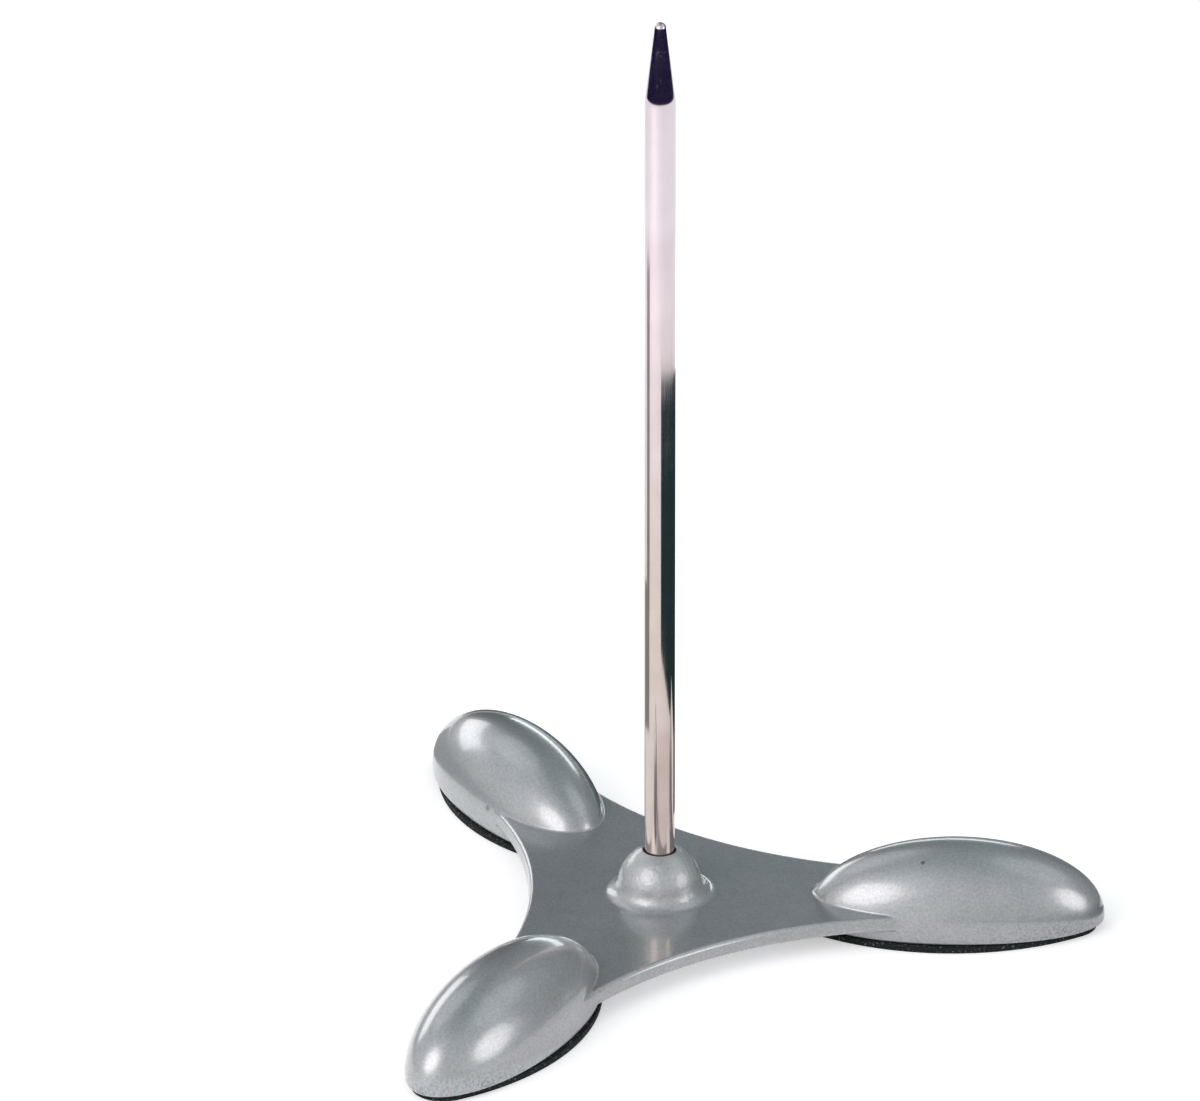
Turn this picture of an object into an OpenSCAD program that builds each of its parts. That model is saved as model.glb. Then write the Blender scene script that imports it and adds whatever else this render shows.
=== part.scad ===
// Bill spike: a polished upright rod on a heavy three-lobed cast base with oval foot pads.
// Millimetres, +Z up. The origin is on the rod axis at table level; one lobe lies along +X.

/* [Spike rod] */
// Diameter of the rod
rod_d = 5; // [4:0.1:7]
// Height of the tip above the table
spike_height = 158.9; // [100:0.1:250]
// Length of the tapered point
point_length = 13; // [6:0.5:30]
// Radius of the rounded nose
nose_radius = 0.95; // [0.4:0.05:1.6]
// Step on each side from the rod down to its threaded lower end
shoulder_step = 0.5; // [0.3:0.1:0.8]

/* [Cast lobes] */
// Distance from the rod axis to the middle of a lobe
lobe_reach = 49.3; // [42:0.1:70]
// Length of a lobe along its arm
lobe_length = 49.7; // [36:0.1:60]
// Width of a lobe across its arm
lobe_width = 21.2; // [17:0.1:26]
// Radius of the rounded lobe ends, seen from above
lobe_end_radius = 6; // [4:0.1:7.5]
// Height of the upright wall at the foot of a lobe
lobe_wall = 3.3; // [1.5:0.1:6]

/* [Cast plate] */
// Thickness of the plate between the lobes
plate_thickness = 2.3; // [1.5:0.1:4]
// Height of the underside of the plate above the pad seats
plate_lift = 2.25; // [0.5:0.05:3.5]
// Distance that the narrowest part of the plate lies inside the lobe width on each side
neck_inset = 1.2; // [0.2:0.1:2]
// Distance from the lobe middle back to the narrowest part of the plate
neck_setback = 2.4; // [1:0.1:8]
// Distance that the plate edge leans inwards from the underside up to the top
plate_draft = 0.45; // [0:0.05:1]
// Rounding of the upper plate edge
plate_edge_radius = 0.6; // [0.1:0.1:1]

/* [Boss] */
// Thickness of the boss wall around the recess for the washers and the nut
boss_wall = 2; // [1:0.1:4]
// Depth of the rod in the boss, from the mouth down to the rod shoulder
socket_depth = 4.5; // [3:0.1:7]
// Radius of the hollow fillet between boss and plate
boss_fillet = 2; // [0.5:0.1:4]
// Gap between the rod and the boss mouth on each side
mouth_gap = 0.25; // [0.1:0.05:0.6]
// Thickness of the web that the rod shoulder rests on
web_thickness = 2; // [1:0.1:4]
// Gap around the widest piece in the recess
recess_gap = 0.5; // [0.3:0.1:1]

/* [Fixing under the boss] */
// Width of the flat washer from its hole to its edge
washer_rim = 2.35; // [1.5:0.05:3]
// Thickness of the flat washer
washer_thickness = 0.8; // [0.4:0.1:1.5]
// Width of the split spring washer from its hole to its edge
spring_rim = 1.65; // [1:0.05:2.2]
// Thickness of the split spring washer
spring_thickness = 0.9; // [0.5:0.1:1.5]
// Width of the split in the spring washer
spring_split = 0.8; // [0.4:0.1:1.5]
// Wall of the nut from its thread to its flats
nut_rim = 1.5; // [1.2:0.1:2.2]
// Height of the thin nut
nut_height = 2.2; // [1.5:0.1:4]
// Height of the lower end of the rod above the pad seats
end_recess = 1.6; // [0.3:0.1:3]

/* [Foot pads] */
// Thickness of a foot pad
pad_thickness = 1.05; // [0.8:0.05:4]
// Thickness of the adhesive film on a pad
film_thickness = 0.15; // [0.1:0.05:0.5]
// Distance that a pad is shorter than its lobe at each end
pad_end_inset = 0.1; // [0:0.1:2]
// Distance that a pad stands out beyond its lobe on each side
pad_side_proud = 0.5; // [0:0.1:1]
// Distance that a pad is shifted from the lobe middle towards the rod
pad_shift = 1.3; // [0:0.1:2]

/* [Hidden] */
$fn = 96;

// Directions of the three arms, named by where they lie when seen from the front
right_turn = 0;
back_left_turn = 120;
front_left_turn = 240;
arm_turns = [right_turn, back_left_turn, front_left_turn];
half_gap_turn = 60;

// Small allowances shared by the pieces
overcut = 1;
thread_play = 0.03;
hole_play = 0.15;
shank_proud = 0.4;
shank_chamfer = 0.4;

// Share of its radius at which the rim rounding is set in, so that it crosses wall and top and does not just touch
rim_crossing = 0.98;

// Round sizes of the fixing, counted outwards from the threaded end of the rod
shank_d = rod_d - 2 * shoulder_step;
shank_hole_d = shank_d + 2 * hole_play;
washer_d = shank_hole_d + 2 * washer_rim;
spring_d = shank_hole_d + 2 * spring_rim;
nut_flats = shank_d + 2 * nut_rim;
nut_corners = nut_flats / cos(30);
recess_d = max(washer_d, spring_d, nut_corners) + 2 * recess_gap;
boss_radius = recess_d / 2 + boss_wall;
mouth_radius = rod_d / 2 + mouth_gap;

// Heights of the base, counted up from the table
seat_z = pad_thickness + film_thickness;
plate_under_z = seat_z + plate_lift;
plate_top_z = plate_under_z + plate_thickness;
lobe_axis_z = seat_z + lobe_wall;

// Heights of the fixing, counted up from the pad seats
shank_end_z = seat_z + end_recess;
nut_z = shank_end_z + shank_proud;
spring_z = nut_z + nut_height;
washer_z = spring_z + spring_thickness;
web_under_z = washer_z + washer_thickness;
shoulder_z = web_under_z + web_thickness;
boss_top_z = shoulder_z + socket_depth;

// Heights of the tapered point
point_z = spike_height - point_length;
nose_z = spike_height - nose_radius;

// Dome of the boss and the circle of its fillet
dome_z = boss_top_z - sqrt(pow(boss_radius, 2) - pow(mouth_radius, 2));
fillet_z = plate_top_z + boss_fillet;
fillet_x = sqrt(pow(boss_radius + boss_fillet, 2) - pow(max(0, fillet_z - dome_z), 2));

// Concave plate edges: three equal arcs, each centred outside the plate between two arms
neck_reach = lobe_reach - neck_setback;
edge_centre = neck_reach / cos(half_gap_turn);
edge_radius = edge_centre * sin(half_gap_turn) - lobe_width / 2 + neck_inset;

// Foot pads follow the lobe outline
pad_reach = lobe_reach - pad_shift;
pad_length = lobe_length - 2 * pad_end_inset;
pad_width = lobe_width + 2 * pad_side_proud;

// Oval of four arcs, long along X: two flat side arcs that run smoothly into two round ends
module oval(length, width, end_radius) {
    end_x = length / 2 - end_radius;
    side_radius = (pow(end_x, 2) + pow(width / 2, 2) - pow(end_radius, 2)) / (width - 2 * end_radius);
    side_y = side_radius - width / 2;
    join_x = end_x * side_radius / (side_radius - end_radius);
    intersection() {
        translate([0, -side_y]) circle(side_radius);
        translate([0, side_y]) circle(side_radius);
        square([2 * join_x, width + overcut], center = true);
    }
    for (side = [-1, 1]) translate([side * end_x, 0]) circle(end_radius);
}

module lobe_outline() {
    oval(lobe_length, lobe_width, lobe_end_radius);
}

module pad_outline() {
    oval(pad_length, pad_width, lobe_end_radius);
}

// Half of the lobe outline, turned about its long axis through half a circle
module lobe_dome() {
    rotate([0, 90, 0]) rotate(90) rotate_extrude(angle = 180) intersection() {
        rotate(90) lobe_outline();
        translate([0, -lobe_length]) square([lobe_width, 2 * lobe_length]);
    }
}

module lobe() {
    translate([lobe_reach, 0, lobe_axis_z]) lobe_dome();
    translate([lobe_reach, 0, seat_z]) linear_extrude(lobe_wall) lobe_outline();
}

// Tool that cuts one concave plate edge, leaning inwards as it rises, and rounds its upper rim
module edge_cutter() {
    lean = atan2(plate_draft, plate_thickness);
    function wall_x(z) = edge_radius + (z - plate_under_z) * tan(lean);
    low_z = plate_under_z - overcut;
    high_z = plate_top_z + overcut;
    translate([0, 0, low_z]) cylinder(h = high_z - low_z, r1 = wall_x(low_z), r2 = wall_x(high_z));
    rim_depth = rim_crossing * plate_edge_radius;
    rim_z = plate_top_z - rim_depth;
    rim_x = wall_x(rim_z) + rim_depth / cos(lean);
    rotate_extrude() difference() {
        translate([edge_radius - overcut, rim_z]) square([rim_x - edge_radius + overcut, high_z - rim_z]);
        translate([rim_x, rim_z]) circle(plate_edge_radius);
    }
}

module plate() {
    difference() {
        translate([0, 0, plate_under_z]) cylinder(h = plate_thickness, r = lobe_reach);
        for (turn = arm_turns) rotate(turn + half_gap_turn) translate([edge_centre, 0, 0]) edge_cutter();
    }
}

// Half outline of the boss: a round dome on a straight foot with a hollow fillet to the plate
module boss_profile() {
    translate([0, plate_under_z]) square([boss_radius, dome_z - plate_under_z]);
    intersection() {
        translate([0, dome_z]) circle(boss_radius);
        translate([0, dome_z]) square([boss_radius, boss_radius]);
    }
    difference() {
        polygon([
            [0, plate_under_z], [fillet_x, plate_under_z], [fillet_x, fillet_z], [0, min(dome_z, fillet_z)]
        ]);
        translate([fillet_x, fillet_z]) circle(boss_fillet);
    }
}

module boss_holes() {
    translate([0, 0, shoulder_z]) cylinder(h = socket_depth + boss_radius, r = mouth_radius);
    cylinder(h = shoulder_z + overcut, d = shank_hole_d);
    cylinder(h = web_under_z, d = recess_d);
}

module base_casting() {
    color("#9a9fa1") difference() {
        union() {
            plate();
            for (turn = arm_turns) rotate(turn) lobe();
            rotate_extrude() boss_profile();
        }
        boss_holes();
    }
}

// Half outline of the tapered point: a straight flank that runs smoothly into the round nose
module point_profile() {
    flank_height = nose_z - point_z;
    flank_lean = atan2(flank_height, rod_d / 2);
    touch_turn = acos(nose_radius / norm([rod_d / 2, flank_height])) - flank_lean;
    touch = nose_radius * [cos(touch_turn), sin(touch_turn)];
    polygon([[0, point_z], [rod_d / 2, point_z], touch + [0, nose_z], [0, nose_z]]);
    intersection() {
        translate([0, nose_z]) circle(nose_radius);
        translate([0, point_z]) square([rod_d, point_length + overcut]);
    }
}

module shank_profile() {
    polygon([
        [0, shank_end_z], [shank_d / 2 - shank_chamfer, shank_end_z],
        [shank_d / 2, shank_end_z + shank_chamfer], [shank_d / 2, shoulder_z], [0, shoulder_z]
    ]);
}

module spike_rod() {
    color("#c9c4c1") rotate_extrude() {
        shank_profile();
        translate([0, shoulder_z]) square([rod_d / 2, point_z - shoulder_z]);
        point_profile();
    }
}

module flat_washer() {
    color("#b4b6b8") translate([0, 0, washer_z]) difference() {
        cylinder(h = washer_thickness, d = washer_d);
        translate([0, 0, -overcut]) cylinder(h = washer_thickness + 2 * overcut, d = shank_hole_d);
    }
}

module spring_washer() {
    color("#a5a8ab") translate([0, 0, spring_z]) difference() {
        cylinder(h = spring_thickness, d = spring_d);
        translate([0, 0, -overcut]) cylinder(h = spring_thickness + 2 * overcut, d = shank_hole_d);
        translate([0, -spring_split / 2, -overcut]) cube([spring_d, spring_split, spring_thickness + 2 * overcut]);
    }
}

// Half outline that turns off the corners of the nut at 30 degrees on both faces
module nut_profile() {
    corner_drop = (nut_corners - nut_flats) / 2 * tan(30);
    polygon([
        [0, 0], [nut_flats / 2, 0], [nut_corners / 2, corner_drop],
        [nut_corners / 2, nut_height - corner_drop], [nut_flats / 2, nut_height], [0, nut_height]
    ]);
}

module hex_nut() {
    color("#aeb1b4") translate([0, 0, nut_z]) difference() {
        intersection() {
            cylinder(h = nut_height, d = nut_corners, $fn = 6);
            rotate_extrude() nut_profile();
        }
        translate([0, 0, -overcut]) cylinder(h = nut_height + 2 * overcut, d = shank_d + 2 * thread_play);
    }
}

module foot_pad(turn) {
    color("#1d1e1f") rotate(turn) translate([pad_reach, 0, 0]) linear_extrude(pad_thickness) pad_outline();
}

module pad_adhesive(turn) {
    color("#d8d5c8") rotate(turn) translate([pad_reach, 0, pad_thickness])
        linear_extrude(film_thickness) pad_outline();
}

base_casting();
spike_rod();
flat_washer();
spring_washer();
hex_nut();
foot_pad(right_turn);  // foot_pad_right
foot_pad(back_left_turn);  // foot_pad_back_left
foot_pad(front_left_turn);  // foot_pad_front_left
pad_adhesive(right_turn);  // pad_adhesive_right
pad_adhesive(back_left_turn);  // pad_adhesive_back_left
pad_adhesive(front_left_turn);  // pad_adhesive_front_left
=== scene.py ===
"""Bill spike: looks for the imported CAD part. Lengths are millimetres here, and metres in a mesh."""

import math

import bpy
import numpy as np
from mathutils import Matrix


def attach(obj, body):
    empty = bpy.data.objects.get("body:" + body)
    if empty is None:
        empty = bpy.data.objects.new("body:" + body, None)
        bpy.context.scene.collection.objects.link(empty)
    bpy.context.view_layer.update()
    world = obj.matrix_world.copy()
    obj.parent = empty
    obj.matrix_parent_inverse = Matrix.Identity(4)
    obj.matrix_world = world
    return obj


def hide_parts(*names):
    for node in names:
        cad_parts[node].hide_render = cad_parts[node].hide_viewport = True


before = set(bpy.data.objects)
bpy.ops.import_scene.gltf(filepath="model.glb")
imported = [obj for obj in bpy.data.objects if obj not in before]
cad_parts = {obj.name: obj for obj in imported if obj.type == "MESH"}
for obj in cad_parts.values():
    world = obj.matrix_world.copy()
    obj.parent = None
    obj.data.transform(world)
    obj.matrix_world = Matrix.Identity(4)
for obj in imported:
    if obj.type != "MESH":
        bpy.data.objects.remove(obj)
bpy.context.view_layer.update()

import openvdb
from mathutils import Matrix, Vector

MM = 0.001
BODY = "root"
ARM_TURNS = {
    "right": 0.0,
    "back_left": math.radians(120),
    "front_left": math.radians(240),
}
HALF_GAP = math.radians(60)

# Spike rod
ROD_RADIUS = 2.5
ROD_AROUND = 128
TIP_Z = 158.9
POINT_LENGTH = 13.0
NOSE_RADIUS = 0.95
POINT_BLEND = 14.0
FLANK_SHARES = (0.05, 0.35, 0.65, 0.95)
SHANK_RADIUS = 2.0
SHANK_END_Z = 2.8
END_FLAT_RADIUS = 1.15
SHOULDER_Z = 9.1
SHOULDER_EDGE = 0.2
THREAD_PITCH = 0.7
THREAD_DEPTH = 0.38
THREAD_LEAD_IN = 0.4
THREAD_STEPS = 8

# Cast base
LOBE_REACH = 49.3
LOBE_HALF_LENGTH = 24.72
LOBE_HALF_WIDTH = 10.6
LOBE_HEIGHT = 13.0
LOBE_CENTRE_Z = 2.15
LOBE_RIM = 0.35
SEAT_Z = 1.2
PLATE_UNDER_Z = 3.45
PLATE_TOP_Z = 5.75
PLATE_DRAFT = 0.45
PLATE_TOP_EDGE = 0.6
PLATE_UNDER_EDGE = 0.3
EDGE_CENTRE = 93.8
EDGE_RADIUS = 71.83
CREASE = 0.33
BOSS_RADIUS = 7.0
DOME_Z = 7.163
BOSS_FILLET = 2.6
MOUTH_RADIUS = 2.75
MOUTH_EDGE = 0.25
WEB_UNDER_Z = 7.1
SHANK_HOLE_RADIUS = 2.15
RECESS_RADIUS = 5.0

# Grid that the base is meshed on
GRID_X = (-44.0, 75.0)
GRID_Y = (-66.0, 66.0)
GRID_Z = (SEAT_Z - 0.6, 15.9)
FINE_STEP = 0.12
COARSE_STEP = 0.24
HEIGHT_STEP = 0.2
GRID_SLAB = 16
SURFACE_ROUNDS = 4
SLOPE_STEP = 0.01
BULGE_STEP = 0.1
SHARP_BULGE = 2

# Fixing under the boss
NUT_Z = 3.2
NUT_HEIGHT = 2.2
NUT_FLATS = 7.0
NUT_AROUND = 144
NUT_CHAMFER = math.radians(30)
NUT_CHAMFER_RINGS = 5
NUT_PLAY = 0.03
NUT_LEAD_IN = 0.25
SPRING_Z = 5.4
SPRING_THICKNESS = 0.9
SPRING_RADIUS = 3.8
SPRING_SPLIT = 0.8
SPRING_AROUND = 90
WASHER_Z = 6.3
WASHER_THICKNESS = 0.8
WASHER_RADIUS = 4.5
WASHER_AROUND = 96
FASTENER_EDGE = 0.12

# Foot pads
PAD_REACH = 48.0
PAD_LENGTH = 49.5
PAD_WIDTH = 22.2
PAD_END_RADIUS = 5.2
PAD_THICKNESS = 1.05
PAD_EDGE = 0.08
PAD_FLAT_INSET = 3.0
PAD_AROUND = 220
FILM_INSET = 1.6
FILM_AROUND = 160

# Paint of the base; bumps are (depth, strength)
NOISE_RANGE = (0.3, 0.7)
PAINT_DARK = (0.325, 0.346, 0.359, 1)
PAINT_LIGHT = (0.46, 0.484, 0.50, 1)
MOTTLE_SHARE = (0.0, 0.3)
FLAKE_SHARE = (0.0, 0.7)
BOSS_PAINT = (0.52, 0.53, 0.535, 1)
BOSS_PAINT_REACH = (6.8, 9.0)
BOSS_PAINT_SHARE = (0.25, 0.0)
SAND_COLOUR = (0.10, 0.11, 0.115, 1)
SAND_HEIGHTS = (1.6, 6.2)
SAND_REACH = (48.0, 70.0)
BARE_EDGE = (0.58, 0.59, 0.60, 1)
SHARP_PIT = (43.58, -4.53, 13.5)
SHARP_PIT_SIZE = (0.12, 0.5)
SHARP_PIT_COLOUR = (0.03, 0.032, 0.035, 1)
SOFT_PIT = (-29.6, 31.75, 5.4)
SOFT_PIT_SIZE = (0.25, 0.65)
SOFT_PIT_COLOUR = (0.08, 0.085, 0.09, 1)
PAINT_ROUGH = (0.28, 0.33)
SAND_ROUGH = 0.15
BOSS_ROUGH = 0.6
PEEL_BUMP = (0.006, 0.3)
LUMP_BUMP = (0.3, 1.0)
GRAIN_BUMP = (0.003, 0.3)
PIT_BUMP = (0.03, 0.5)

# Plating of the rod; its colours hold a painted reflection: pinkish, browner low down and lighter higher
# up
LOW_PLATING_REFLECTION_DARK = (0.54, 0.455, 0.415, 1)
LOW_PLATING_REFLECTION_LIGHT = (0.62, 0.53, 0.49, 1)
HIGH_PLATING_REFLECTION_DARK = (0.66, 0.575, 0.615, 1)
HIGH_PLATING_REFLECTION_LIGHT = (0.74, 0.65, 0.69, 1)
# Heights over which the painted reflection turns from the lower colours to the lighter, pinker upper ones
PAINTED_REFLECTION_Z = (60.0, 125.0)
SPECKS_Z = (144.0, 148.0)
PLATING_ROUGH = (0.045, 0.075)
STREAK_ROUGH = (0.0, 0.04)
SPECK_ROUGH = (0.0, 0.13)
STREAK_BUMP = (0.004, 0.2)

# Fasteners, rubber and film
STEEL_DARK = (0.40, 0.41, 0.42, 1)
STEEL_LIGHT = (0.56, 0.57, 0.585, 1)
STEEL_ROUGH = (0.28, 0.42)
STEEL_BUMP = (0.01, 0.3)
RUBBER_BLACK = (0.007, 0.012, 0.0135, 1)
RUBBER_DUST = (0.17, 0.19, 0.195, 1)
RUBBER_CELL = 0.45
RUBBER_ROUGH = (0.75, 0.95)
RUBBER_BUMP = (0.12, 0.7)
FILM_DARK = (0.55, 0.53, 0.47, 1)
FILM_LIGHT = (0.64, 0.62, 0.56, 1)
FILM_ROUGH = (0.4, 0.6)
FILM_BUMP = (0.02, 0.3)

# Photograph and the camera fitted to it
PHOTO_SIZE = (1200, 1101)
ORIGIN_PIXEL = (659.55, 921.6)
CAMERA_DEPTH = 1.22
PIXELS_PER_METRE = 6000.0
CAMERA_PITCH = math.radians(23.97)
CAMERA_ROLL = math.radians(-0.153)
CAMERA_TURN = math.radians(1.11)
SENSOR_WIDTH = 36.0

# Studio: its colour towards each side, the floor and the cards
WORLD_SIDES = {
    (0, 0, 1): (0.25, 0.303, 0.322),
    (-0.98, -0.2, 0): (0.84, 0.82, 0.83),
    (1, 0, 0): (0.30, 0.31, 0.32),
    (0, -1, 0): (0.62, 0.593, 0.598),
}
FLOOR_COLOUR = (0.9, 0.9, 0.9, 1)
FLOOR_LIFT = 0.38
FLOOR_HEIGHTS = (-0.02, -0.02)
FLOOR_RADIUS = 4000.0
CARD_HEIGHTS = (0.3, 0.3)
CARD_STEPS = 49


def make_object(name, points, faces, material, smooth=True):
    """A new mesh object at the origin from points in millimetres."""
    mesh = bpy.data.meshes.new(name)
    mesh.from_pydata((np.asarray(points, float) * MM).tolist(), [], faces)
    mesh.materials.append(material)
    mesh.polygons.foreach_set("use_smooth", [smooth] * len(mesh.polygons))
    mesh.update()
    made = bpy.data.objects.new(name, mesh)
    bpy.context.scene.collection.objects.link(made)
    return made


def stand_for(piece, cad_node):
    """The piece rides on the one body and stands for a CAD node."""
    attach(piece, BODY)
    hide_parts(cad_node)
    return piece


def loft(rings, closed_ends=True):
    """Points and faces between rings of equal length; the ends get a middle point or join each other."""
    rings = np.asarray(rings, float)
    ring_count, around = rings.shape[:2]
    here = np.arange(around)
    after = (here + 1) % around
    joined = ring_count - 1 if closed_ends else ring_count
    faces = []
    for ring in range(joined):
        low = ring * around
        high = (ring + 1) % ring_count * around
        faces += np.stack([low + here, low + after, high + after, high + here], 1).tolist()
    points = rings.reshape(-1, 3)
    if closed_ends:
        first, last = len(points), len(points) + 1
        points = np.vstack([points, rings[0].mean(0), rings[-1].mean(0)])
        top = (ring_count - 1) * around
        faces += np.stack([after, here, np.full(around, first)], 1).tolist()
        faces += np.stack([top + here, top + after, np.full(around, last)], 1).tolist()
    return points, faces


def full_turn(count):
    """Angles evenly round one turn."""
    return np.linspace(0, 2 * math.pi, count, endpoint=False)


def level_ring(radius, turns, z):
    """A ring of points at one height, with one radius or a radius for each turn."""
    return np.stack([radius * np.cos(turns), radius * np.sin(turns), np.full(len(turns), z)], 1)


def turned(profile, around):
    """Rings of (radius, height) points turned about the Z axis."""
    turns = full_turn(around)
    return np.stack([level_ring(radius, turns, z) for radius, z in profile])


def arc(centre, radius, start, end, count):
    """Points on a circle of the (radius, height) plane between two angles in degrees."""
    turns = np.radians(np.linspace(start, end, count))
    return [(centre[0] + radius * math.cos(t), centre[1] + radius * math.sin(t)) for t in turns]


def round_union(a, b, radius):
    """Union of two distance fields with a hollow fillet."""
    both = np.hypot(np.maximum(radius - a, 0), np.maximum(radius - b, 0))
    return np.maximum(radius, np.minimum(a, b)) - both


def round_common(a, b, radius):
    """What two distance fields share, with a rounded edge."""
    both = np.hypot(np.maximum(radius + a, 0), np.maximum(radius + b, 0))
    return np.minimum(-radius, np.maximum(a, b)) + both


def ellipsoid(x, y, z, half_x, half_y, half_z):
    """Distance field of an ellipsoid, exact to first order at its surface."""
    tiny = 1e-6
    near = np.sqrt((x / half_x) ** 2 + (y / half_y) ** 2 + (z / half_z) ** 2) + tiny
    slope = np.sqrt((x / half_x**2) ** 2 + (y / half_y**2) ** 2 + (z / half_z**2) ** 2) + tiny
    return near * (near - 1) / slope


def along_arm(x, y):
    """Distances along and across the nearest arm; the arms are alike under a third of a turn."""
    third = 2 * math.pi / 3
    turn = np.round(np.arctan2(y, x) / third) * third
    return x * np.cos(turn) + y * np.sin(turn), np.abs(y * np.cos(turn) - x * np.sin(turn))


def boss_hole(rho, z):
    """Distance field of the stepped hole up the middle of the base."""
    mouth = np.maximum(rho - MOUTH_RADIUS, SHOULDER_Z - z)
    recess = np.maximum(rho - RECESS_RADIUS, z - WEB_UNDER_Z)
    return np.minimum(np.minimum(mouth, recess), rho - SHANK_HOLE_RADIUS)


def plate_field(along, across, rho, z):
    """Distance field of the plate without its underside: concave edges that lean in, and a round rim."""
    edge_x, edge_y = EDGE_CENTRE * math.cos(HALF_GAP), EDGE_CENTRE * math.sin(HALF_GAP)
    lean = PLATE_DRAFT / (PLATE_TOP_Z - PLATE_UNDER_Z)
    edge = EDGE_RADIUS + lean * (z - PLATE_UNDER_Z) - np.hypot(along - edge_x, across - edge_y)
    outline = np.maximum(edge, rho - LOBE_REACH)
    return round_common(outline, z - PLATE_TOP_Z, PLATE_TOP_EDGE)


def lobe_field(along, across, z):
    """Distance field of a lobe: an ellipsoid cut off at the pad's seat."""
    half_sizes = (LOBE_HALF_LENGTH, LOBE_HALF_WIDTH, LOBE_HEIGHT)
    lobe = ellipsoid(along - LOBE_REACH, across, z - LOBE_CENTRE_Z, *half_sizes)
    return round_common(lobe, SEAT_Z - z, LOBE_RIM)


def base_field(x, y, z):
    """Distance field of the cast base: plate, lobes, boss and the hole for the rod."""
    along, across = along_arm(x, y)
    rho = np.hypot(x, y)
    boss = np.hypot(rho, np.maximum(z - DOME_Z, 0)) - BOSS_RADIUS
    middle = round_union(plate_field(along, across, rho, z), boss, BOSS_FILLET)
    middle = round_common(middle, PLATE_UNDER_Z - z, PLATE_UNDER_EDGE)
    body = round_union(middle, lobe_field(along, across, z), CREASE)
    return round_common(body, -boss_hole(rho, z), MOUTH_EDGE)


def slope_of(field, points, step):
    """Gradient of a field at some points, by differences."""
    slopes = np.empty_like(points)
    for axis in range(3):
        shift = np.zeros(3)
        shift[axis] = step
        slopes[:, axis] = (field(*(points + shift).T) - field(*(points - shift).T)) / (2 * step)
    return slopes


def bulge_of(field, points, step):
    """Curvature of a field's surface at some points: above 0 on outer edges, below 0 in hollows."""
    total = -6 * field(*points.T)
    for axis in range(3):
        shift = np.zeros(3)
        shift[axis] = step
        total += field(*(points + shift).T) + field(*(points - shift).T)
    return total / step**2


def graded_axis(low, high, core, fine, coarse):
    """Grid lines from low to high, fine within the core around 0 and coarse outside it."""
    inside = np.arange(max(low, -core), min(high, core), fine)
    below = np.arange(inside[0] - coarse, low - coarse, -coarse)[::-1]
    above = np.arange(inside[-1] + coarse, high + coarse, coarse)
    return np.concatenate([below, inside, above])


def mesh_field(field, axes):
    """Points, faces and normals of a field's surface on grid lines; the grid is filled in slabs."""
    grid = openvdb.FloatGrid()
    for first in range(0, len(axes[0]), GRID_SLAB):
        lines = axes[0][first:first + GRID_SLAB]
        x, y, z = np.meshgrid(lines, *axes[1:], indexing="ij", sparse=True)
        grid.copyFromArray(np.ascontiguousarray(field(x, y, z), np.float32), ijk=(first, 0, 0))
    points, triangles, quads = grid.convertToPolygons(0.0, 0.0)
    points = np.stack([np.interp(p, np.arange(len(a)), a) for p, a in zip(points.T, axes)], 1)
    for _ in range(SURFACE_ROUNDS):
        slopes = slope_of(field, points, SLOPE_STEP)
        points -= slopes * (field(*points.T) / (slopes**2).sum(1))[:, None]
    normals = slope_of(field, points, SLOPE_STEP)
    normals /= np.linalg.norm(normals, axis=1)[:, None]
    return points, triangles.tolist() + quads.tolist(), normals


def feed(tree, socket, value):
    """Gives a socket its value, or a link from the socket that feeds it."""
    if isinstance(value, bpy.types.NodeSocket):
        tree.links.new(value, socket)
    else:
        socket.default_value = value


def feed_all(tree, made, inputs):
    """Feeds the inputs of a node by name or place."""
    for name, value in inputs.items():
        feed(tree, made.inputs[name], value)


def node(tree, kind, inputs=None, **settings):
    """A new shader node with its settings; an input is a value or the socket that feeds it."""
    made = tree.nodes.new(kind)
    for name, value in settings.items():
        setattr(made, name, value)
    feed_all(tree, made, inputs or {})
    return made


def new_material(name):
    """An empty material, its node tree, its shader and the part's own coordinates in metres."""
    material = bpy.data.materials.new(name)
    material.use_nodes = True
    tree = material.node_tree
    shader = tree.nodes["Principled BSDF"]
    place = node(tree, "ShaderNodeTexCoord").outputs["Object"]
    return material, tree, shader, place


def noise(tree, place, size, detail=2.0):
    """Soft noise whose bumps are about that many millimetres wide, from 0 to 1."""
    inputs = {"Vector": place, "Scale": 1 / (size * MM), "Detail": detail}
    return node(tree, "ShaderNodeTexNoise", inputs).outputs["Fac"]


def spread(tree, value, source, target):
    """A value carried from one range to another and kept inside it."""
    inputs = {"Value": value, "From Min": source[0], "From Max": source[1]}
    inputs.update({"To Min": target[0], "To Max": target[1]})
    return node(tree, "ShaderNodeMapRange", inputs).outputs["Result"]


def spread_length(tree, value, source, target):
    """A length of the part carried from a range in millimetres to another range."""
    return spread(tree, value, (source[0] * MM, source[1] * MM), target)


def math_node(tree, operation, a, b):
    return node(tree, "ShaderNodeMath", {0: a, 1: b}, operation=operation).outputs["Value"]


def times(tree, a, b):
    return math_node(tree, "MULTIPLY", a, b)


def plus(tree, a, b):
    return math_node(tree, "ADD", a, b)


def vector_node(tree, operation, inputs, output):
    return node(tree, "ShaderNodeVectorMath", inputs, operation=operation).outputs[output]


def mix_colour(tree, share, a, b):
    """Colour a with a share of colour b."""
    made = node(tree, "ShaderNodeMix", data_type="RGBA")
    for name, value in (("Factor_Float", share), ("A_Color", a), ("B_Color", b)):
        feed(tree, next(s for s in made.inputs if s.identifier == name), value)
    return next(s for s in made.outputs if s.identifier == "Result_Color")


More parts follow.
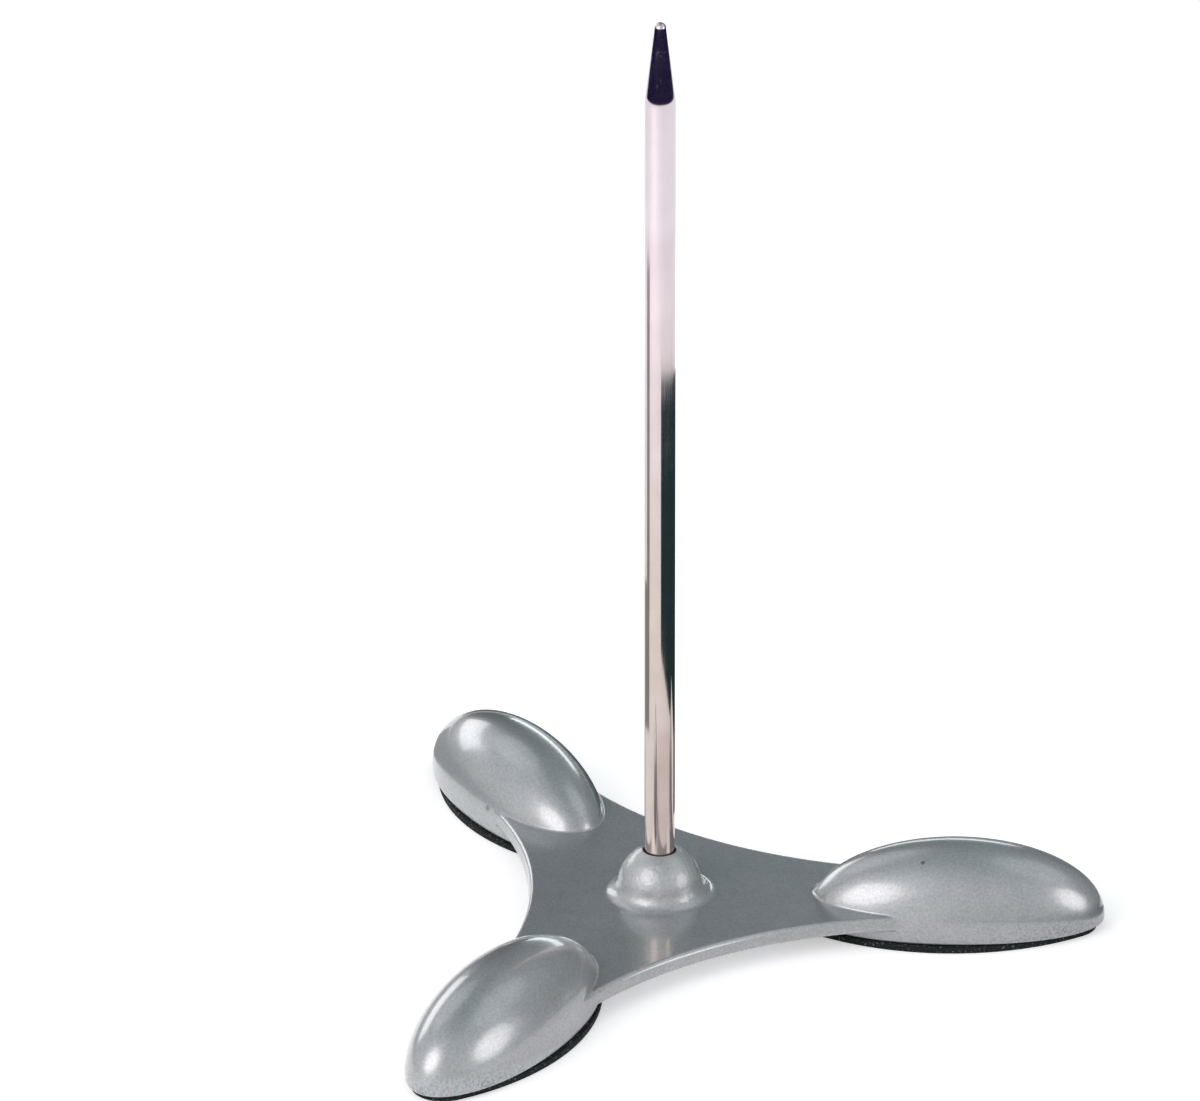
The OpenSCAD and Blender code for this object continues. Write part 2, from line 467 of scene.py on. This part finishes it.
def bump(tree, height, depth_and_strength, under=None):
    """A bump of some millimetres and some strength, on top of another if given."""
    depth, strength = depth_and_strength
    inputs = {"Height": height, "Distance": depth * MM, "Strength": strength}
    if under is not None:
        inputs["Normal"] = under
    return node(tree, "ShaderNodeBump", inputs).outputs["Normal"]


def near_point(tree, place, point, size):
    """1 within an inner distance of a point of the part, falling to 0 at an outer one."""
    centre = tuple(np.multiply(point, MM))
    apart = vector_node(tree, "DISTANCE", {0: place, 1: centre}, "Value")
    return spread_length(tree, apart, size, (1.0, 0.0))


def height_of(tree, place):
    return node(tree, "ShaderNodeSeparateXYZ", {"Vector": place}).outputs["Z"]


def sand_speckle(tree, place, rho):
    """Dark casting sand: dots that come up low down on the part, and more so on its outer ends."""
    low_down = spread_length(tree, height_of(tree, place), SAND_HEIGHTS, (1.0, 0.0))
    outwards = spread_length(tree, rho, SAND_REACH, (0.35, 1.0))
    patchy = spread(tree, noise(tree, place, 5.0), (0.4, 0.6), (0.4, 1.0))
    amount = times(tree, times(tree, low_down, outwards), patchy)
    crowded = plus(tree, noise(tree, place, 0.42), times(tree, amount, 0.1))
    return times(tree, spread(tree, crowded, (0.52, 0.66), (0.0, 1.0)), amount)


def paint_material():
    """Silver-grey metallic paint under a clear gloss, on a casting that is sandy near its lower rims."""
    material, tree, shader, place = new_material("base_paint")
    flat_place = vector_node(tree, "MULTIPLY", {0: place, 1: (1, 1, 0)}, "Vector")
    rho = vector_node(tree, "LENGTH", {0: flat_place}, "Value")
    mottle = noise(tree, place, 5.0, 4.0)
    grain = noise(tree, place, 0.5, 3.0)
    sandy = sand_speckle(tree, place, rho)
    tone = spread(tree, mottle, NOISE_RANGE, MOTTLE_SHARE)
    flakes = spread(tree, noise(tree, place, 0.4, 1.0), NOISE_RANGE, FLAKE_SHARE)
    colour = mix_colour(tree, plus(tree, tone, flakes), PAINT_DARK, PAINT_LIGHT)
    on_boss = spread_length(tree, rho, BOSS_PAINT_REACH, BOSS_PAINT_SHARE)
    colour = mix_colour(tree, on_boss, colour, BOSS_PAINT)
    colour = mix_colour(tree, times(tree, sandy, 0.6), colour, SAND_COLOUR)
    edge = node(tree, "ShaderNodeAttribute", attribute_name="outer_edge").outputs["Fac"]
    worn = times(tree, edge, spread(tree, grain, (0.4, 0.6), (0.0, 0.4)))
    colour = mix_colour(tree, worn, colour, BARE_EDGE)
    sharp_pit = near_point(tree, place, SHARP_PIT, SHARP_PIT_SIZE)
    soft_pit = near_point(tree, place, SOFT_PIT, SOFT_PIT_SIZE)
    colour = mix_colour(tree, times(tree, sharp_pit, 0.8), colour, SHARP_PIT_COLOUR)
    colour = mix_colour(tree, times(tree, soft_pit, 0.7), colour, SOFT_PIT_COLOUR)
    rough = spread(tree, grain, NOISE_RANGE, PAINT_ROUGH)
    rough = plus(tree, rough, times(tree, sandy, SAND_ROUGH))
    rough = plus(tree, rough, times(tree, on_boss, BOSS_ROUGH))
    peel = bump(tree, noise(tree, place, 1.6, 1.0), PEEL_BUMP)
    lumps = times(tree, noise(tree, place, 0.8, 1.0), on_boss)
    peel = bump(tree, lumps, LUMP_BUMP, peel)
    fine = bump(tree, grain, GRAIN_BUMP, peel)
    hollow = math_node(tree, "MAXIMUM", sandy, sharp_pit)
    pits = bump(tree, math_node(tree, "SUBTRACT", 1.0, hollow), PIT_BUMP, fine)
    feed_all(tree, shader, {"Base Color": colour, "Roughness": rough, "Metallic": 0.65})
    feed_all(tree, shader, {"Normal": pits, "Coat Normal": peel})
    feed_all(tree, shader, {"Coat Weight": 1.0, "Coat Roughness": 0.1})
    return material


def plating_material():
    """Bright nickel plating, polished along the rod and specked at the point, with a painted reflection
    in its colour: pinkish, browner low down and lighter higher up.
    """
    material, tree, shader, place = new_material("rod_plating")
    along_rod = {"Vector": place, "Scale": (1.0, 1.0, 0.02)}
    drawn = node(tree, "ShaderNodeMapping", along_rod).outputs["Vector"]
    streak = noise(tree, drawn, 0.25, 3.0)
    smudge = noise(tree, place, 7.0, 3.0)
    height = height_of(tree, place)
    share = spread(tree, smudge, NOISE_RANGE, (0.0, 1.0))
    # Lower colour of the rod: plating tint with a painted reflection, darker and browner
    low_plating_reflection = mix_colour(tree, share, LOW_PLATING_REFLECTION_DARK, LOW_PLATING_REFLECTION_LIGHT)
    bright = mix_colour(tree, share, HIGH_PLATING_REFLECTION_DARK, HIGH_PLATING_REFLECTION_LIGHT)
    # Painted reflection: the rod turns lighter and pinker higher up
    colour = mix_colour(tree, spread_length(tree, height, PAINTED_REFLECTION_Z, (0.0, 1.0)), low_plating_reflection, bright)
    rough = spread(tree, smudge, NOISE_RANGE, PLATING_ROUGH)
    rough = plus(tree, rough, spread(tree, streak, (0.35, 0.65), STREAK_ROUGH))
    specks = spread(tree, noise(tree, place, 0.3, 1.0), (0.64, 0.74), SPECK_ROUGH)
    on_point = spread_length(tree, height, SPECKS_Z, (0.0, 1.0))
    rough = plus(tree, rough, times(tree, specks, on_point))
    feed_all(tree, shader, {"Base Color": colour, "Roughness": rough, "Metallic": 1.0})
    feed_all(tree, shader, {"Normal": bump(tree, streak, STREAK_BUMP)})
    return material


def steel_material():
    """Zinc-plated fasteners."""
    material, tree, shader, place = new_material("fixing_steel")
    cloud = noise(tree, place, 2.0, 3.0)
    grain = noise(tree, place, 0.15, 2.0)
    colour = mix_colour(tree, cloud, STEEL_DARK, STEEL_LIGHT)
    rough = spread(tree, grain, NOISE_RANGE, STEEL_ROUGH)
    feed_all(tree, shader, {"Base Color": colour, "Roughness": rough, "Metallic": 1.0})
    feed_all(tree, shader, {"Normal": bump(tree, grain, STEEL_BUMP)})
    return material


def rubber_material():
    """Black sponge rubber with open cells on its cut edge."""
    material, tree, shader, place = new_material("pad_rubber")
    cell_inputs = {"Vector": place, "Scale": 1 / (RUBBER_CELL * MM)}
    cells = node(tree, "ShaderNodeTexVoronoi", cell_inputs).outputs["Distance"]
    dust = spread(tree, noise(tree, place, 0.4, 2.0), (0.6, 0.7), (0.0, 0.8))
    colour = mix_colour(tree, dust, RUBBER_BLACK, RUBBER_DUST)
    rough = spread(tree, cells, (0.0, 0.6), RUBBER_ROUGH)
    feed_all(tree, shader, {"Base Color": colour, "Roughness": rough, "Specular IOR Level": 0.3})
    feed_all(tree, shader, {"Normal": bump(tree, cells, RUBBER_BUMP)})
    return material


def film_material():
    """Pale double-sided adhesive film."""
    material, tree, shader, place = new_material("pad_film")
    cloud = noise(tree, place, 3.0, 3.0)
    colour = mix_colour(tree, cloud, FILM_DARK, FILM_LIGHT)
    rough = spread(tree, cloud, NOISE_RANGE, FILM_ROUGH)
    feed_all(tree, shader, {"Base Color": colour, "Roughness": rough})
    feed_all(tree, shader, {"Normal": bump(tree, cloud, FILM_BUMP)})
    return material


def make_base(material):
    """The cast base as one fine mesh of its distance field."""
    axes = (
        graded_axis(*GRID_X, BOSS_RADIUS, FINE_STEP, COARSE_STEP),
        graded_axis(*GRID_Y, BOSS_RADIUS, FINE_STEP, COARSE_STEP),
        np.arange(*GRID_Z, HEIGHT_STEP),
    )
    points, faces, normals = mesh_field(base_field, axes)
    base = make_object("cast_base", points, faces, material)
    edges = np.clip(bulge_of(base_field, points, BULGE_STEP) / SHARP_BULGE, 0, 1)
    outer_edge = base.data.attributes.new("outer_edge", "FLOAT", "POINT")
    outer_edge.data.foreach_set("value", edges.astype(np.float32))
    base.data.normals_split_custom_set_from_vertices(normals.tolist())
    return stand_for(base, "base_casting")


def rod_profile():
    """Half outline of the rod above its shoulder: straight, a blend, the flank and the round nose."""
    nose_z = TIP_Z - NOSE_RADIUS
    base_z = TIP_Z - POINT_LENGTH
    lean = math.asin((ROD_RADIUS - NOSE_RADIUS) / math.hypot(ROD_RADIUS, nose_z - base_z))
    half = POINT_BLEND * math.tan(lean / 2)
    straight = np.linspace(SHOULDER_Z + 2 * SHOULDER_EDGE, base_z - half - 2 * SHOULDER_EDGE, 24)
    outline = [(ROD_RADIUS - SHOULDER_EDGE, SHOULDER_Z), (ROD_RADIUS, SHOULDER_Z + SHOULDER_EDGE)]
    outline += [(ROD_RADIUS, z) for z in straight]
    outline += arc((ROD_RADIUS - POINT_BLEND, base_z - half), POINT_BLEND, 0, math.degrees(lean), 12)
    nose = arc((0, nose_z), NOSE_RADIUS, math.degrees(lean), 88, 20)
    flank_start, flank_end = np.array(outline[-1]), np.array(nose[0])
    outline += [tuple(flank_start * (1 - share) + flank_end * share) for share in FLANK_SHARES]
    return outline + nose


def thread_rings(around):
    """Rings of the threaded lower end, whose ridge climbs one pitch in each turn."""
    turns = full_turn(around)
    rings = []
    for z in np.arange(SHANK_END_Z, SHOULDER_Z, THREAD_PITCH / THREAD_STEPS):
        phase = (z / THREAD_PITCH - turns / (2 * math.pi)) % 1
        depth = THREAD_DEPTH * np.abs(2 * phase - 1)
        lead_in = max(0.0, THREAD_LEAD_IN - (z - SHANK_END_Z))
        radius = np.minimum(SHANK_RADIUS - depth, SHANK_RADIUS - lead_in)
        rings.append(level_ring(radius, turns, z))
    return rings


def make_rod(material):
    """The rod from its flat lower end over the thread to the point."""
    end_flat = turned([(END_FLAT_RADIUS, SHANK_END_Z)], ROD_AROUND)
    upper = turned(rod_profile(), ROD_AROUND)
    rings = np.concatenate([end_flat, thread_rings(ROD_AROUND), upper])
    rod = make_object("spike", *loft(rings), material)
    return stand_for(rod, "spike_rod")


def ring_profile(inner, outer, low, high, edge):
    """Closed outline of a flat ring with rounded edges."""
    return (
        arc((outer - edge, low + edge), edge, -90, 0, 5)
        + arc((outer - edge, high - edge), edge, 0, 90, 5)
        + arc((inner + edge, high - edge), edge, 90, 180, 5)
        + arc((inner + edge, low + edge), edge, 180, 270, 5)
    )


def make_washer(material):
    """The flat washer under the web of the boss."""
    top_z = WASHER_Z + WASHER_THICKNESS
    profile = ring_profile(SHANK_HOLE_RADIUS, WASHER_RADIUS, WASHER_Z, top_z, FASTENER_EDGE)
    washer = make_object("washer", *loft(turned(profile, WASHER_AROUND), closed_ends=False), material)
    return stand_for(washer, "flat_washer")


def make_spring(material):
    """The split washer: a ring section swept almost all the way round."""
    top_z = SPRING_Z + SPRING_THICKNESS
    profile = ring_profile(SHANK_HOLE_RADIUS, SPRING_RADIUS, SPRING_Z, top_z, FASTENER_EDGE)
    half_split = SPRING_SPLIT / 2 / SHANK_HOLE_RADIUS
    rings = []
    for turn in np.linspace(half_split, 2 * math.pi - half_split, SPRING_AROUND):
        rings.append([(r * math.cos(turn), r * math.sin(turn), z) for r, z in profile])
    spring = make_object("split_washer", *loft(rings), material)
    return stand_for(spring, "spring_washer")


def make_nut(material):
    """A thin hexagon nut with its corners turned off and a small lead into its bore."""
    turns = full_turn(NUT_AROUND)
    sixth = math.pi / 3
    hexagon = NUT_FLATS / 2 / np.cos((turns + sixth / 2) % sixth - sixth / 2)
    drop = (hexagon.max() - NUT_FLATS / 2) * math.tan(NUT_CHAMFER)
    bore = SHANK_RADIUS + NUT_PLAY
    top_z = NUT_Z + NUT_HEIGHT
    levels = []
    for rise in np.linspace(0, drop, NUT_CHAMFER_RINGS):
        radius = np.minimum(hexagon, NUT_FLATS / 2 + rise / math.tan(NUT_CHAMFER))
        levels.append((radius, rise))
    rings = [level_ring(radius, turns, NUT_Z + rise) for radius, rise in levels]
    rings += [level_ring(radius, turns, top_z - rise) for radius, rise in reversed(levels)]
    rings.append(level_ring(bore + NUT_LEAD_IN, turns, top_z))
    rings.append(level_ring(bore, turns, top_z - NUT_LEAD_IN))
    rings.append(level_ring(bore, turns, NUT_Z + NUT_LEAD_IN))
    rings.append(level_ring(bore + NUT_LEAD_IN, turns, NUT_Z))
    nut = make_object("nut", *loft(rings, closed_ends=False), material)
    return stand_for(nut, "hex_nut")


def pad_outline(inset, count):
    """Points of the pad's oval of four arcs, moved inwards, evenly along its length."""
    end_x = PAD_LENGTH / 2 - PAD_END_RADIUS
    half = PAD_WIDTH / 2
    side_radius = (end_x**2 + half**2 - PAD_END_RADIUS**2) / (PAD_WIDTH - 2 * PAD_END_RADIUS)
    side_y = side_radius - half
    join = math.atan2(side_y, end_x)
    limits = np.array([-join, join, math.pi - join, math.pi + join, 2 * math.pi - join])
    radii = np.array([PAD_END_RADIUS, side_radius, PAD_END_RADIUS, side_radius])
    walked = np.concatenate([[0], np.cumsum(np.diff(limits) * radii)])
    facing = np.interp(np.linspace(0, walked[-1], count, endpoint=False), walked, limits)
    on_end = np.abs(np.sin(facing)) < math.sin(join)
    radius = np.where(on_end, PAD_END_RADIUS, side_radius) - inset
    x = np.where(on_end, np.sign(np.cos(facing)) * end_x, 0) + radius * np.cos(facing)
    y = np.where(on_end, 0, -np.sign(np.sin(facing)) * side_y) + radius * np.sin(facing)
    return np.stack([x, y], 1)


def arm_rings(levels, turn, count):
    """Rings of pad outlines at (inset, height) levels, set under the lobe of an arm."""
    rings = []
    for inset, z in levels:
        flat = pad_outline(inset, count)
        x = flat[:, 0] + PAD_REACH
        rings.append(np.stack([
            x * math.cos(turn) - flat[:, 1] * math.sin(turn),
            x * math.sin(turn) + flat[:, 1] * math.cos(turn),
            np.full(count, z),
        ], 1))
    return rings


def make_pad(arm, turn, material):
    """A sponge rubber pad with small rounded edges."""
    lower_edge = arc((0, PAD_EDGE), PAD_EDGE, -80, 0, 5)
    upper_edge = arc((0, PAD_THICKNESS - PAD_EDGE), PAD_EDGE, 0, 80, 5)
    levels = [(PAD_FLAT_INSET, 0.0), (PAD_EDGE, 0.0)]
    levels += [(PAD_EDGE - r, z) for r, z in lower_edge + upper_edge]
    levels += [(PAD_EDGE, PAD_THICKNESS), (PAD_FLAT_INSET, PAD_THICKNESS)]
    pad = make_object("pad_" + arm, *loft(arm_rings(levels, turn, PAD_AROUND)), material)
    return stand_for(pad, "foot_pad_" + arm)


def make_film(arm, turn, material):
    """The adhesive film on a pad, drawn back from the pad's edge."""
    levels = [(FILM_INSET, PAD_THICKNESS), (FILM_INSET, SEAT_Z)]
    film = make_object("film_" + arm, *loft(arm_rings(levels, turn, FILM_AROUND)), material)
    return stand_for(film, "pad_adhesive_" + arm)


def make_camera():
    """The camera fitted to the photograph: the part's origin at one pixel of it, at one depth."""
    width, height = PHOTO_SIZE
    data = bpy.data.cameras.new("camera")
    data.sensor_fit = "HORIZONTAL"
    data.sensor_width = SENSOR_WIDTH
    data.lens = SENSOR_WIDTH * PIXELS_PER_METRE * CAMERA_DEPTH / width
    camera = bpy.data.objects.new("camera", data)
    axes = Matrix.Rotation(CAMERA_TURN, 3, "Z") @ Matrix.Rotation(math.pi / 2 - CAMERA_PITCH, 3, "X")
    axes = axes @ Matrix.Rotation(CAMERA_ROLL, 3, "Z")
    right = (ORIGIN_PIXEL[0] - width / 2) / PIXELS_PER_METRE
    up = (height / 2 - ORIGIN_PIXEL[1]) / PIXELS_PER_METRE
    offset = Vector((right, up, -CAMERA_DEPTH))
    camera.matrix_world = Matrix.Translation(-(axes @ offset)) @ axes.to_4x4()
    bpy.context.scene.collection.objects.link(camera)
    bpy.context.scene.camera = camera


def direction(azimuth, elevation):
    """Unit vector towards an azimuth from +X and an elevation, in degrees."""
    a, e = math.radians(azimuth), math.radians(elevation)
    return Vector((math.cos(a) * math.cos(e), math.sin(a) * math.cos(e), math.sin(e)))


def make_lamp(name, shape, aim, distance, size, brightness, colour, tilt=0.0):
    """A soft box at an azimuth and elevation, facing the part; brightness is that of its surface."""
    width, height = size
    data = bpy.data.lights.new(name, "AREA")
    data.shape = shape
    data.size, data.size_y = width, height
    data.energy = brightness * math.pi * width * height * (math.pi / 4 if shape == "ELLIPSE" else 1)
    data.color = colour
    lamp = bpy.data.objects.new(name, data)
    towards = direction(*aim)
    lamp.location = towards * distance
    facing = towards.to_track_quat("Z", "Y").to_matrix() @ Matrix.Rotation(math.radians(tilt), 3, "Z")
    lamp.rotation_euler = facing.to_euler()
    lamp.visible_camera = False
    bpy.context.scene.collection.objects.link(lamp)


def make_lamps():
    """Two key lamps, two fills, a strip and a box behind the part."""
    make_lamp("key_left", "ELLIPSE", (227, 34), 0.5, (0.37, 0.33), 2.1, (1.0, 0.91, 0.92))
    make_lamp("key_right", "ELLIPSE", (-20, 19), 2.0, (1.05, 1.2), 2.2, (1.0, 0.945, 0.945))
    make_lamp("fill_right", "ELLIPSE", (12, 55), 2.0, (1.5, 1.4), 0.42, (1.0, 0.98, 0.97))
    make_lamp("fill_left", "ELLIPSE", (128, 50), 2.0, (1.3, 1.1), 0.45, (1.0, 0.98, 0.98))
    make_lamp("strip_back", "RECTANGLE", (81, 11.5), 0.31, (0.15, 0.036), 2.6, (0.93, 0.99, 1.0), -20.0)
    make_lamp("box_back_left", "RECTANGLE", (127, 17), 2.0, (1.15, 0.58), 2.1, (1.0, 0.98, 1.0))


def make_world():
    """A soft studio: bright to the left and in front, dimmer and cooler overhead, dark at the back."""
    world = bpy.data.worlds.new("studio")
    bpy.context.scene.world = world
    world.use_nodes = True
    tree = world.node_tree
    place = node(tree, "ShaderNodeTexCoord").outputs["Generated"]
    total = None
    for side, colour in WORLD_SIDES.items():
        facing = vector_node(tree, "DOT_PRODUCT", {0: place, 1: side}, "Value")
        level = math_node(tree, "MAXIMUM", facing, 0.0)
        glow = vector_node(tree, "SCALE", {0: colour, "Scale": level}, "Vector")
        if total is not None:
            glow = vector_node(tree, "ADD", {0: total, 1: glow}, "Vector")
        total = glow
    feed(tree, tree.nodes["Background"].inputs["Color"], total)


def floor_material():
    """Pale floor, a little lifted to white where it is seen directly or in the metal."""
    material = bpy.data.materials.new("floor")
    material.use_nodes = True
    tree = material.node_tree
    tree.nodes.remove(tree.nodes["Principled BSDF"])
    path = node(tree, "ShaderNodeLightPath")
    seen = math_node(tree, "MAXIMUM", path.outputs["Is Camera Ray"], path.outputs["Is Glossy Ray"])
    seen = math_node(tree, "MAXIMUM", seen, path.outputs["Is Transmission Ray"])
    white_light = {"Color": (1, 1, 1, 1), "Strength": times(tree, seen, FLOOR_LIFT)}
    lift = node(tree, "ShaderNodeEmission", white_light)
    paper = node(tree, "ShaderNodeBsdfDiffuse", {"Color": FLOOR_COLOUR})
    both = node(tree, "ShaderNodeAddShader", {0: paper.outputs["BSDF"], 1: lift.outputs["Emission"]})
    feed(tree, tree.nodes["Material Output"].inputs["Surface"], both.outputs["Shader"])
    return material


def flat_sector(name, inner_radii, outer, start, end, heights, material):
    """A stage piece between two azimuths; its inner radius changes around it and its height outwards."""
    turns = np.radians(np.linspace(start, end, CARD_STEPS))
    inner = np.linspace(*inner_radii, CARD_STEPS)
    points = []
    for turn, radius in zip(turns, inner):
        for r, z in zip((radius, outer), heights):
            points.append((r * math.cos(turn), r * math.sin(turn), z))
    faces = [(2 * i, 2 * i + 1, 2 * i + 3, 2 * i + 2) for i in range(CARD_STEPS - 1)]
    made = make_object(name, points, faces, material, smooth=False)
    return made


def flag_material(name, colour, glow=0.0):
    """Dull card without any gloss of its own; glow is the light that it adds."""
    material, tree, shader, _ = new_material(name)
    feed_all(tree, shader, {"Base Color": colour, "Roughness": 0.9, "Specular IOR Level": 0.0})
    feed_all(tree, shader, {"Emission Color": colour, "Emission Strength": glow})
    return material


def make_stage():
    """Floor, and cards that only reflections see, as a photographer sets flags outside the picture."""
    flat_sector("floor", (0.0, 0.0), FLOOR_RADIUS, 0, 360, FLOOR_HEIGHTS, floor_material())
    teal = flag_material("flag_teal", (0.033, 0.067, 0.075, 1))
    navy = flag_material("flag_navy", (0.018, 0.014, 0.06, 1))
    grey = flag_material("flag_grey", (0.42, 0.43, 0.44, 1))
    pale = flag_material("flag_pale", (0.88, 0.84, 0.84, 1), 0.25)
    for card in (
        flat_sector("flag_front_right", (112.0, 78.0), 240.0, -82, 6, CARD_HEIGHTS, teal),
        flat_sector("flag_front", (24.0, 24.0), 78.0, -105, 6, CARD_HEIGHTS, pale),
        flat_sector("flag_right", (100.0, 72.0), 240.0, 6, 37, CARD_HEIGHTS, teal),
        flat_sector("flag_back", (42.0, 42.0), 240.0, 37, 110, CARD_HEIGHTS, teal),
        flat_sector("flag_left", (77.0, 77.0), 125.0, 120, 185, (0.3, 7.0), grey),
        flat_sector("flag_far_left", (125.0, 125.0), 300.0, 158, 187, CARD_HEIGHTS, grey),
        flat_sector("flag_far", (600.0, 600.0), 3900.0, 0, 360, CARD_HEIGHTS, navy),
    ):
        card.visible_camera = False
        card.visible_diffuse = False
        card.visible_shadow = False
        card.visible_transmission = False


make_camera()
make_base(paint_material())
make_rod(plating_material())
steel = steel_material()
make_washer(steel)
make_spring(steel)
make_nut(steel)
rubber, film = rubber_material(), film_material()
for arm, turn in ARM_TURNS.items():
    make_pad(arm, turn, rubber)
    make_film(arm, turn, film)
make_stage()
make_world()
make_lamps()
bpy.context.scene.view_settings.view_transform = "Standard"
